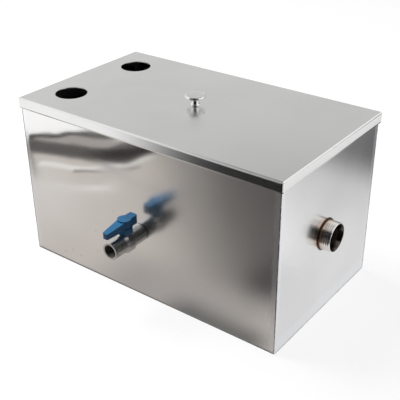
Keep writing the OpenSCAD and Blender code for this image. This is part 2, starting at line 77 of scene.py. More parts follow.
class Form(Enum):
    """Outline of a reflector's soft edge."""

    BLOCK = "block"
    ROUND = "round"


class Sock:
    """A shader value that Python arithmetic extends with Math nodes."""

    def __init__(self, shader: "Shader", socket: bpy.types.NodeSocket) -> None:
        """Keeps an output socket and the shader that it belongs to."""
        self.shader = shader
        self.socket = socket

    def math(self, operation: str, *operands: Value) -> "Sock":
        """Adds a Math node.

        Args:
            operation: Name of the Math node's operation.
            operands: Values for its inputs, in order.

        Returns:
            The node's result.
        """
        made = self.shader.node("ShaderNodeMath", {"operation": operation}, dict(enumerate(operands)))
        return Sock(self.shader, made.outputs[0])

    def __add__(self, other: Value) -> "Sock":
        """Sum."""
        return self.math("ADD", self, other)

    def __sub__(self, other: Value) -> "Sock":
        """Difference."""
        return self.math("SUBTRACT", self, other)

    def __mul__(self, other: Value) -> "Sock":
        """Product."""
        return self.math("MULTIPLY", self, other)

    def __pow__(self, other: Value) -> "Sock":
        """Power."""
        return self.math("POWER", self, other)

    def __radd__(self, other: Number) -> "Sock":
        """Sum with the number first."""
        return self.math("ADD", other, self)

    def __rsub__(self, other: Number) -> "Sock":
        """Difference with the number first."""
        return self.math("SUBTRACT", other, self)

    def __rmul__(self, other: Number) -> "Sock":
        """Product with the number first."""
        return self.math("MULTIPLY", other, self)

    def __rpow__(self, other: Number) -> "Sock":
        """Power with the number first."""
        return self.math("POWER", other, self)

    def __abs__(self) -> "Sock":
        """Size without sign."""
        return self.math("ABSOLUTE", self)

    def below(self, limit: Value) -> "Sock":
        """1 where the value is below the limit, else 0."""
        return self.math("LESS_THAN", self, limit)

    def upper(self, other: Value) -> "Sock":
        """The larger of two values."""
        return self.math("MAXIMUM", self, other)

    def rise(self, start: float, end: float) -> "Sock":
        """Smooth step.

        Args:
            start: Value at which the result is 0.
            end: Value at which the result is 1; below start, the step falls.

        Returns:
            A value from 0 to 1.
        """
        sockets = {"Value": self, "From Min": start, "From Max": end}
        made = self.shader.node("ShaderNodeMapRange", {"interpolation_type": "SMOOTHSTEP"}, sockets)
        return Sock(self.shader, made.outputs["Result"])


class Shader:
    """A node tree of one material or of the world."""

    def __init__(self, tree: bpy.types.NodeTree, output: str) -> None:
        """Empties a tree and gives it its output node.

        Args:
            tree: Node tree of a material or of the world.
            output: Type of the output node.
        """
        self.tree = tree
        self.tree.nodes.clear()
        self.output = self.node(output)

    def node(
        self,
        kind: str,
        settings: Optional[Dict[str, object]] = None,
        sockets: Optional[Dict[Union[str, int], object]] = None,
    ) -> bpy.types.Node:
        """Adds a node.

        Args:
            kind: Type of the node.
            settings: Properties of the node, set before its sockets.
            sockets: Values, or links as Sock or socket, by name or place of the input.

        Returns:
            The new node.
        """
        made = self.tree.nodes.new(kind)
        for key, value in (settings or {}).items():
            setattr(made, key, value)
        for key, value in (sockets or {}).items():
            source = value.socket if isinstance(value, Sock) else value
            if isinstance(source, bpy.types.NodeSocket):
                self.tree.links.new(source, made.inputs[key])
            else:
                made.inputs[key].default_value = source
        return made

    def value(self, node: bpy.types.Node, output: Union[str, int]) -> Sock:
        """Wraps one output of a node."""
        return Sock(self, node.outputs[output])

    def place(self) -> bpy.types.NodeSocket:
        """Place on the object, in millimetres of the frame."""
        metres = self.node("ShaderNodeTexCoord").outputs["Object"]
        return self.scaled(metres, (1 / MM,) * 3)

    def scaled(self, vector: bpy.types.NodeSocket, factors: Triple) -> bpy.types.NodeSocket:
        """Multiplies a vector by three factors."""
        made = self.node("ShaderNodeVectorMath", {"operation": "MULTIPLY"}, {0: vector, 1: factors})
        return made.outputs[0]

    def parts(self, vector: bpy.types.NodeSocket) -> Tuple[Sock, Sock, Sock]:
        """Splits a vector into its three values."""
        made = self.node("ShaderNodeSeparateXYZ", None, {0: vector})
        return self.value(made, 0), self.value(made, 1), self.value(made, 2)

    def noise(self, vector: bpy.types.NodeSocket, scale: float, detail: float) -> Sock:
        """Noise from 0 to 1.

        Args:
            vector: Place to read it at.
            scale: Waves for each unit of the place.
            detail: Layers of finer noise.

        Returns:
            The noise, about 0.5 on average.
        """
        made = self.node("ShaderNodeTexNoise", None, {"Vector": vector, "Scale": scale, "Detail": detail})
        return self.value(made, 0)

    def mix(self, factor: Value, low: object, high: object) -> Sock:
        """Mixes two colours.

        Args:
            factor: Share of the second colour.
            low: Colour at 0, as three numbers or a Sock.
            high: Colour at 1.

        Returns:
            The mixed colour.
        """
        ends = [end if isinstance(end, Sock) else (*end, 1.0) for end in (low, high)]
        made = self.node("ShaderNodeMix", {"data_type": "RGBA"}, {0: factor, 6: ends[0], 7: ends[1]})
        return self.value(made, 2)

    def bump(self, height: Sock) -> bpy.types.NodeSocket:
        """Normal of a surface raised by a height in millimetres."""
        made = self.node("ShaderNodeBump", None, {"Strength": 1.0, "Distance": MM, "Height": height})
        return made.outputs["Normal"]

    def surface(self, sockets: Dict[str, object]) -> None:
        """Ends the tree in one Principled shader."""
        made = self.node("ShaderNodeBsdfPrincipled", None, sockets)
        self.tree.links.new(made.outputs[0], self.output.inputs["Surface"])


@dataclass(frozen=True)
class Finish:
    """A finish of a surface. A subclass paints its nodes.

    Lengths are in millimetres, and a scale is the number of a noise's waves in one.
    """

    name: str
    colour: Triple
    roughness: float

    def paint(self, shader: Shader) -> None:
        """Adds the finish's nodes to an empty tree."""
        raise NotImplementedError

    def shaded(self, shader: Shader, pattern: Sock, share: float) -> Sock:
        """The finish's colour, darker where a pattern is low.

        Args:
            shader: Tree to add to.
            pattern: Noise from 0 to 1.
            share: Share of the colour that the darkest places keep.

        Returns:
            The shaded colour.
        """
        dark = tuple(share * part for part in self.colour)
        return shader.mix(pattern.rise(*SHADE_STEP), dark, self.colour)

    @lru_cache(maxsize=None)
    def material(self) -> bpy.types.Material:
        """Makes the node material, once for each finish.

        Returns:
            The material.
        """
        made = bpy.data.materials.new(self.name)
        made.use_nodes = True
        self.paint(Shader(made.node_tree, "ShaderNodeOutputMaterial"))
        return made


@dataclass(frozen=True)
class RolledSheet(Finish):
    """Cold-rolled stainless sheet: faint grain, cloudy gloss, slow waves, specks and ground edges.

    Polish takes roughness off the zones of the front wall, each given along X and up Z. Ground is added to
    the roughness of the strips beside the welds, which are a little bluer, and on an end panel the sheet
    falls away over the chamfer. Lean turns upright faces a little upwards, and below skirt_edge they turn in.
    """

    grain: Axis = Axis.X
    cloud: float = 0.05
    specks: float = 0.0
    wave: float = 0.0
    polish: float = 0.0
    ground: float = 0.0
    lean: float = 0.0
    half_length: float = 175.0
    half_depth: float = 100.0
    chamfer: float = 2.2
    slope: float = 0.12
    skirt_edge: float = 192.2
    edge_slope: float = 0.3
    skirt_top: Pair = (202.0, 200.0)
    skirt_gloss: float = 0.08
    shade: float = 0.96
    grain_stretch: float = 0.03
    grain_scale: float = 1.6
    grain_rough: float = 0.04
    grain_height: float = 0.004
    cloud_scale: float = 0.012
    wave_scale: float = 0.022
    speck_scale: float = 0.07
    speck_size: float = 0.06
    speck_share: float = 0.5
    speck_colour: Triple = (0.16, 0.15, 0.14)
    polish_zones: Tuple[Tuple[Pair, Pair], ...] = (
        ((-10.0, -70.0), (85.0, 130.0)),
        ((70.0, 10.0), (143.0, 162.0)),
    )
    front_strip: Pair = (8.0, 4.0)
    end_strip: Pair = (9.0, 4.0)
    foot_strip: Pair = (24.0, 12.0)
    strip_tint: Triple = (0.89, 0.905, 0.935)
    strip_share: float = 0.6
    mark_stretch: Triple = (1.0, 1.0, 0.05)
    mark_scale: float = 1.1
    mark_height: float = 0.03

    def ground_edges(self, x: Sock, y: Sock, z: Sock) -> Sock:
        """Finds the strips beside the welded corners.

        Args:
            x: Place along the tank.
            y: Place across the tank.
            z: Height.

        Returns:
            1 on the strips, else 0.
        """
        if self.grain is Axis.X:
            return abs(x).rise(*(self.half_length - inset for inset in self.front_strip))
        sides = abs(y).rise(*(self.half_depth - inset for inset in self.end_strip))
        return sides.upper(z.rise(*self.foot_strip))

    def speckled(self, shader: Shader, place: bpy.types.NodeSocket, colour: Sock) -> Sock:
        """Adds small dark specks to a colour.

        Args:
            shader: Tree to add to.
            place: Place on the object.
            colour: Colour of the sheet.

        Returns:
            The colour with specks in some of the pattern's cells.
        """
        cells = shader.node("ShaderNodeTexVoronoi", None, {"Vector": place, "Scale": self.speck_scale})
        chance = shader.parts(cells.outputs["Color"])[0]
        speck = shader.value(cells, "Distance").below(self.speck_size) * chance.below(self.specks)
        return shader.mix(speck * self.speck_share, colour, self.speck_colour)

    def paint(self, shader: Shader) -> None:
        """Adds the sheet's nodes.

        Args:
            shader: Empty tree to fill.
        """
        place = shader.place()
        x, y, z = shader.parts(place)
        stretch = [1.0, 1.0, 1.0]
        stretch[self.grain.value] = self.grain_stretch
        grain = shader.noise(shader.scaled(place, tuple(stretch)), self.grain_scale, 3.0)
        cloud = shader.noise(place, self.cloud_scale, 2.0)
        colour = self.shaded(shader, cloud, self.shade)
        rough = self.roughness + (cloud - NOISE_MEAN) * self.cloud + (grain - NOISE_MEAN) * self.grain_rough
        height = (grain - NOISE_MEAN) * self.grain_height
        if self.specks:
            colour = self.speckled(shader, place, colour)
        if self.polish:
            left, top = (x.rise(*across) * z.rise(*up) for across, up in self.polish_zones)
            rough = rough - self.polish * left.upper(top)
        if self.wave:
            height = height + (shader.noise(place, self.wave_scale, 1.0) - NOISE_MEAN) * self.wave
        if self.ground:
            strip = self.ground_edges(x, y, z)
            marks = shader.noise(shader.scaled(place, self.mark_stretch), self.mark_scale, 3.0)
            rough = rough + strip * self.ground
            colour = shader.mix(strip * self.strip_share, colour, self.strip_tint)
            height = height + strip * (marks - NOISE_MEAN) * self.mark_height
            if self.grain is Axis.Y:
                edge = abs(y) - (self.half_depth - self.chamfer)
                height = height - edge.upper(0.0) * self.slope
        if self.lean:
            height = height - z * self.lean - (self.skirt_edge - z).upper(0.0) * self.edge_slope
            rough = rough - self.skirt_gloss * z.rise(*self.skirt_top)
        shader.surface({
            "Base Color": colour, "Metallic": 1.0, "Roughness": rough, "Normal": shader.bump(height),
        })


@dataclass(frozen=True)
class CastSteel(Finish):
    """Cast and turned steel with a fine blasted skin."""

    pitting: float = 0.012
    shade: float = 0.85
    skin_scale: float = 1.4
    skin_rough: float = 0.06
    cloud_scale: float = 0.15

    def paint(self, shader: Shader) -> None:
        """Adds the casting's nodes.

        Args:
            shader: Empty tree to fill.
        """
        place = shader.place()
        skin_noise = shader.noise(place, self.skin_scale, 4.0)
        cloud = shader.noise(place, self.cloud_scale, 2.0)
        colour = self.shaded(shader, cloud, self.shade)
        rough = self.roughness + (skin_noise - NOISE_MEAN) * self.skin_rough
        shader.surface({
            "Base Color": colour, "Metallic": 1.0, "Roughness": rough,
            "Normal": shader.bump(skin_noise * self.pitting),
        })


@dataclass(frozen=True)
class HeatTintedPipe(Finish):
    """Turned pipe steel with the brown tint of a weld at one end, along X, and painted shade that darkens its
    bore.

    Reaches are distances from the weld at which a step between two looks starts and ends.
    """

    weld_place: float = 175.0
    axis: Pair = (-5.0, 100.0)
    bore_r: float = 14.7
    tint: Triple = (0.07, 0.035, 0.018)
    straw: Triple = (0.72, 0.58, 0.49)
    # Painted shade: dark colour that stands for the shade inside the bore
    bore_shade_tone: Triple = (0.10, 0.085, 0.08)
    bore_step: Pair = (1.0, 0.75)
    tint_reach: Pair = (1.2, 2.4)
    straw_reach: Pair = (2.4, 8.5)
    rough_reach: Pair = (1.0, 3.0)
    weld_rough: float = 0.15
    ragged: float = 0.8
    cloud_scale: float = 0.25
    cloud_rough: float = 0.08
    skin_scale: float = 2.0
    skin_height: float = 0.002

    def paint(self, shader: Shader) -> None:
        """Adds the pipe's nodes.

        Args:
            shader: Empty tree to fill.
        """
        place = shader.place()
        x, y, z = shader.parts(place)
        cloud = shader.noise(place, self.cloud_scale, 3.0)
        away = x - self.weld_place + (cloud - NOISE_MEAN) * self.ragged
        radius = ((y - self.axis[0]) ** 2 + (z - self.axis[1]) ** 2) ** 0.5
        inside = radius.rise(*(self.bore_r + reach for reach in self.bore_step))
        warm = shader.mix(away.rise(*self.tint_reach), self.tint, self.straw)
        outer = shader.mix(away.rise(*self.straw_reach), warm, self.colour)
        # Painted shade: the bore is darkened to stand for the shade inside the pipe
        colour = shader.mix(inside, outer, self.bore_shade_tone)
        near = 1 - away.rise(*self.rough_reach)
        rough = self.roughness + (cloud - NOISE_MEAN) * self.cloud_rough + near * self.weld_rough
        shader.surface({
            "Base Color": colour, "Metallic": 1.0, "Roughness": rough,
            "Normal": shader.bump(shader.noise(place, self.skin_scale, 3.0) * self.skin_height),
        })


@dataclass(frozen=True)
class WeldBead(Finish):
    """Ground weld metal, lighter and darker from place to place."""

    shade: Triple = (0.24, 0.235, 0.23)
    patch_scale: float = 0.06
    patch_step: Pair = (0.62, 0.42)
    ripple_scale: float = 1.2
    ripple_rough: float = 0.3
    ripple_height: float = 0.06

    def paint(self, shader: Shader) -> None:
        """Adds the bead's nodes.

        Args:
            shader: Empty tree to fill.
        """
        place = shader.place()
        patch = shader.noise(place, self.patch_scale, 3.0)
        ripple = shader.noise(place, self.ripple_scale, 2.0)
        colour = shader.mix(patch.rise(*self.patch_step), self.colour, self.shade)
        rough = self.roughness + (ripple - NOISE_MEAN) * self.ripple_rough
        shader.surface({
            "Base Color": colour, "Metallic": 1.0, "Roughness": rough,
            "Normal": shader.bump(ripple * self.ripple_height),
        })


@dataclass(frozen=True)
class PolishedSteel(Finish):
    """Polished steel with faint smears."""

    shade: float = 0.94
    smear_stretch: Triple = (1.0, 0.3, 1.0)
    smear_scale: float = 0.4
    smear_step: Pair = (0.45, 0.75)
    smear_rough: float = 0.06

    def paint(self, shader: Shader) -> None:
        """Adds the polish's nodes.

        Args:
            shader: Empty tree to fill.
        """
        place = shader.place()
        smear = shader.noise(shader.scaled(place, self.smear_stretch), self.smear_scale, 3.0)
        colour = self.shaded(shader, smear, self.shade)
        rough = self.roughness + smear.rise(*self.smear_step) * self.smear_rough
        shader.surface({"Base Color": colour, "Metallic": 1.0, "Roughness": rough})


@dataclass(frozen=True)
class MouldedPlastic(Finish):
    """Moulded plastic with a fine skin and a little shade from place to place."""

    grain_height: float = 0.01
    shade: float = 0.86
    skin_scale: float = 2.2
    skin_rough: float = 0.12
    cloud_scale: float = 0.12

    def paint(self, shader: Shader) -> None:
        """Adds the plastic's nodes.

        Args:
            shader: Empty tree to fill.
        """
        place = shader.place()
        skin_noise = shader.noise(place, self.skin_scale, 3.0)
        cloud = shader.noise(place, self.cloud_scale, 2.0)
        colour = self.shaded(shader, cloud, self.shade)
        rough = self.roughness + (skin_noise - NOISE_MEAN) * self.skin_rough
        shader.surface({
            "Base Color": colour, "Roughness": rough, "Specular IOR Level": 0.5,
            "Normal": shader.bump(skin_noise * self.grain_height),
        })


FRONT_SHEET = RolledSheet(
    "front_sheet", (0.85, 0.845, 0.835), 0.23, specks=0.22, wave=0.1, polish=0.165, ground=0.1,
)
END_SHEET = RolledSheet(
    "end_sheet", (0.85, 0.85, 0.85), 0.22, grain=Axis.Y, specks=0.1, wave=0.08, ground=0.1,
)
LID_SHEET = RolledSheet("lid_sheet", (0.85, 0.85, 0.845), 0.24, cloud=0.04, lean=0.17)
INNER_SHEET = RolledSheet("inner_sheet", (0.72, 0.72, 0.71), 0.3, grain=Axis.Z)
SEAM_STEEL = WeldBead("seam_steel", (0.50, 0.50, 0.50), 0.25)
PIPE_STEEL = HeatTintedPipe("pipe_steel", (0.86, 0.82, 0.79), 0.19)
PLAIN_PIPE = CastSteel("turned_steel", (0.66, 0.65, 0.64), 0.25, pitting=0.003)
VALVE_STEEL = CastSteel("valve_steel", (0.64, 0.64, 0.64), 0.27, pitting=0.004)
# Painted shade: a dark copy of the valve's steel for the thread inside the mouth, standing for the shade in
# the bore
SHADED_THREAD_STEEL = CastSteel("shaded_thread_steel", (0.22, 0.21, 0.20), 0.35)
POLISHED_STEEL = PolishedSteel("polished_steel", (0.86, 0.86, 0.86), 0.06)
LEVER_PLASTIC = MouldedPlastic("lever_plastic", (0.012, 0.135, 0.30), 0.40)
SEAT_PLASTIC = MouldedPlastic("seat_plastic", (0.85, 0.85, 0.82), 0.45)
SEAL_RUBBER = MouldedPlastic("seal_rubber", (0.03, 0.03, 0.03), 0.65, grain_height=0.02)


def dress(names: Iterable[str], finish: Finish) -> None:
    """Gives CAD nodes a finish.

    Args:
        names: Names of the nodes.
        finish: Finish for all of them.
    """
    for name in names:
        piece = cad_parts[name]
        if not piece.material_slots:
            piece.data.materials.append(finish.material())
        for slot in piece.material_slots:
            slot.material = finish.material()
        LOG.info("dressed %s in %s", name, finish.name)


def turns(sides: int) -> List[float]:
    """Angles of a ring's points, in radians."""
    return [2 * math.pi * step / sides for step in range(sides)]


def skin(rows: Sequence[Sequence[Triple]], closed: bool) -> Mesh:
    """Joins rings of points by quads.

    Args:
        rows: Rings with the same number of points each.
        closed: Joins the last ring to the first; otherwise both ends get a cap.

    Returns:
        The points and faces.
    """
    around = len(rows[0])
    points = [point for row in rows for point in row]
    faces: List[Tuple[int, ...]] = []
    for place in range(len(rows) if closed else len(rows) - 1):
        low, high = place * around, (place + 1) % len(rows) * around
        for step in range(around):
            after = (step + 1) % around
            faces.append((low + step, low + after, high + after, high + step))
    if not closed:
        faces.append(tuple(reversed(range(around))))
        faces.append(tuple(range(len(points) - around, len(points))))
    return points, faces


def make_piece(
    name: str, mesh: Mesh, finish: Finish, body: str, crease: float = 40.0,
) -> bpy.types.Object:
    """Makes a piece that rides on a body.

    Args:
        name: Name of the piece.
        mesh: Its points in millimetres and its faces.
        finish: Its finish.
        body: Body that it moves with.
        crease: Angle in degrees from which an edge looks sharp.

    Returns:
        The piece's object.
    """
    data = bpy.data.meshes.new(name)
    data.from_pydata([tuple(MM * part for part in point) for point in mesh[0]], [], mesh[1])
    outward = bmesh.new()
    outward.from_mesh(data)
    bmesh.ops.recalc_face_normals(outward, faces=outward.faces)
    outward.to_mesh(data)
    outward.free()
    data.shade_smooth()
    data.set_sharp_from_angle(angle=math.radians(crease))
    data.materials.append(finish.material())
    piece = bpy.data.objects.new(name, data)
    bpy.context.scene.collection.objects.link(piece)
    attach(piece, body)
    LOG.info("made %s in %s", name, finish.name)
    return piece


@dataclass
class Reflector:
    """A stage card that only shows in shiny surfaces. A subclass gives its mesh and its soft edge."""

    name: str
    tone: Triple

    def mesh(self) -> bpy.types.Mesh:
        """Makes the card's mesh."""
        raise NotImplementedError

    def mask(self, shader: Shader) -> Value:
        """1 inside the card, falling to 0 at its edge."""
        raise NotImplementedError

    def build(self) -> bpy.types.Object:
        """Makes the card.

        Returns:
            The card's object.
        """
        card = bpy.data.objects.new(self.name, self.mesh())
        made = bpy.data.materials.new(self.name)
        made.use_nodes = True
        shader = Shader(made.node_tree, "ShaderNodeOutputMaterial")
        glow = shader.node("ShaderNodeEmission", None, {"Color": (*self.tone, 1.0)})
        clear = shader.node("ShaderNodeBsdfTransparent")
        soft = shader.node("ShaderNodeMixShader", None, {
            0: self.mask(shader), 1: clear.outputs[0], 2: glow.outputs[0],
        })
        shader.tree.links.new(soft.outputs[0], shader.output.inputs["Surface"])
        card.data.materials.append(made)
        bpy.context.scene.collection.objects.link(card)
        for kind in ("camera", "diffuse", "transmission", "volume_scatter", "shadow"):
            setattr(card, "visible_" + kind, False)
        LOG.info("placed %s", self.name)
        return card


@dataclass
class Card(Reflector):
    """A flat card with a soft edge, in metres.

    Core is the share of each half that keeps the full tone, and cut ends the card at a share of its second
    half.
    """

    middle: Triple = (0.0, 0.0, 0.0)
    half: Pair = (1.0, 1.0)
    core: Pair = (0.4, 0.4)
    turn: float = 0.0
    stand: Stand = Stand.LEVEL
    form: Form = Form.BLOCK
    cut: float = 1.0

    def mesh(self) -> bpy.types.Mesh:
        """Makes a unit square, as far as the cut.

        Returns:
            The mesh.
        """
        data = bpy.data.meshes.new(self.name)
        corners = [(-1, -1, 0), (1, -1, 0), (1, self.cut, 0), (-1, self.cut, 0)]
        data.from_pydata(corners, [], [(0, 1, 2, 3)])
        return data

    def mask(self, shader: Shader) -> Value:
        """Softens the card's edge.

        Args:
            shader: Tree of the card's material.

        Returns:
            1 inside the core, falling to 0 at the edge.
        """
        x, y, _ = shader.parts(shader.node("ShaderNodeTexCoord").outputs["Object"])
        if self.form is Form.ROUND:
            return ((x ** 2 + y ** 2) ** 0.5).rise(1.0, self.core[0])
        return abs(x).rise(1.0, self.core[0]) * abs(y).rise(1.0, self.core[1])

    def build(self) -> bpy.types.Object:
        """Makes the card and puts it in its place.

        Returns:
            The card's object.
        """
        card = super().build()
        card.location = self.middle
        card.rotation_euler = (math.radians(self.stand.value), 0.0, math.radians(self.turn))
        card.scale = (*self.half, 1.0)
        return card


@dataclass
class Ribbon(Reflector):
    """A curved band on the floor, in metres, with soft sides. It fades in over a share of its length."""

    path: Tuple[Pair, ...] = ()
    half_width: float = 0.02
    core: float = 0.4
    rise: float = 0.004
    fade: float = 0.0
    steps: int = 8

    def centre(self) -> List[Vector]:
        """Draws a smooth curve through the path.

        Returns:
            Points along the curve.
        """
        ends = [self.path[0], *self.path, self.path[-1]]
        line: List[Vector] = []
        for place in range(len(self.path) - 1):
            a, b, c, d = (Vector(point) for point in ends[place:place + 4])
            for step in range(self.steps):
                t = step / self.steps
                bend, twist = 2 * a - 5 * b + 4 * c - d, 3 * b - a - 3 * c + d
                line.append(0.5 * (2 * b + (c - a) * t + bend * t ** 2 + twist * t ** 3))
        line.append(Vector(self.path[-1]))
        return line

    def mesh(self) -> bpy.types.Mesh:
        """Makes the band, with its length in the map's first value and its width in the second.

        Returns:
            The mesh.
        """
        line = self.centre()
        points: List[Triple] = []
        for place, point in enumerate(line):
            along = (line[min(place + 1, len(line) - 1)] - line[max(place - 1, 0)]).normalized()
            side = Vector((-along.y, along.x)) * self.half_width
            points += [(*(point - side), self.rise), (*(point + side), self.rise)]
        data = bpy.data.meshes.new(self.name)
        data.from_pydata(points, [], [(n, n + 2, n + 3, n + 1) for n in range(0, len(points) - 2, 2)])
        across = data.uv_layers.new(name="across")
        for loop in data.loops:
            across.data[loop.index].uv = (loop.vertex_index // 2 / len(line), loop.vertex_index % 2)
        return data

    def mask(self, shader: Shader) -> Value:
        """Softens the band's sides and its start.

        Args:
            shader: Tree of the band's material.

        Returns:
            1 along the middle, falling to 0 at both sides.
        """
        u, v, _ = shader.parts(shader.node("ShaderNodeTexCoord").outputs["UV"])
        across = abs(v * 2 - 1).rise(1.0, self.core)
        return across * u.rise(0.0, self.fade) if self.fade else across


@dataclass
class Patch(Reflector):
    """A hard-edged patch of floor, in metres."""

    outline: Tuple[Pair, ...] = ()
    rise: float = 0.001

    def mesh(self) -> bpy.types.Mesh:
        """Makes the patch from its outline.

        Returns:
            The mesh.
        """
        data = bpy.data.meshes.new(self.name)
        points = [(*point, self.rise) for point in self.outline]
        data.from_pydata(points, [], [tuple(range(len(points)))])
        return data

    def mask(self, shader: Shader) -> Value:
        """The full tone all over."""
        return 1.0


# Middle of the dark band on the floor, which is also the front left edge of the toned floor
DARK_BAND = (
    (-0.427, -0.293), (-0.415, -0.295), (-0.397, -0.300), (-0.374, -0.308), (-0.344, -0.319),
    (-0.310, -0.330), (-0.286, -0.345), (-0.279, -0.357), (-0.276, -0.371), (-0.272, -0.385),
    (-0.267, -0.404), (-0.262, -0.430),
)


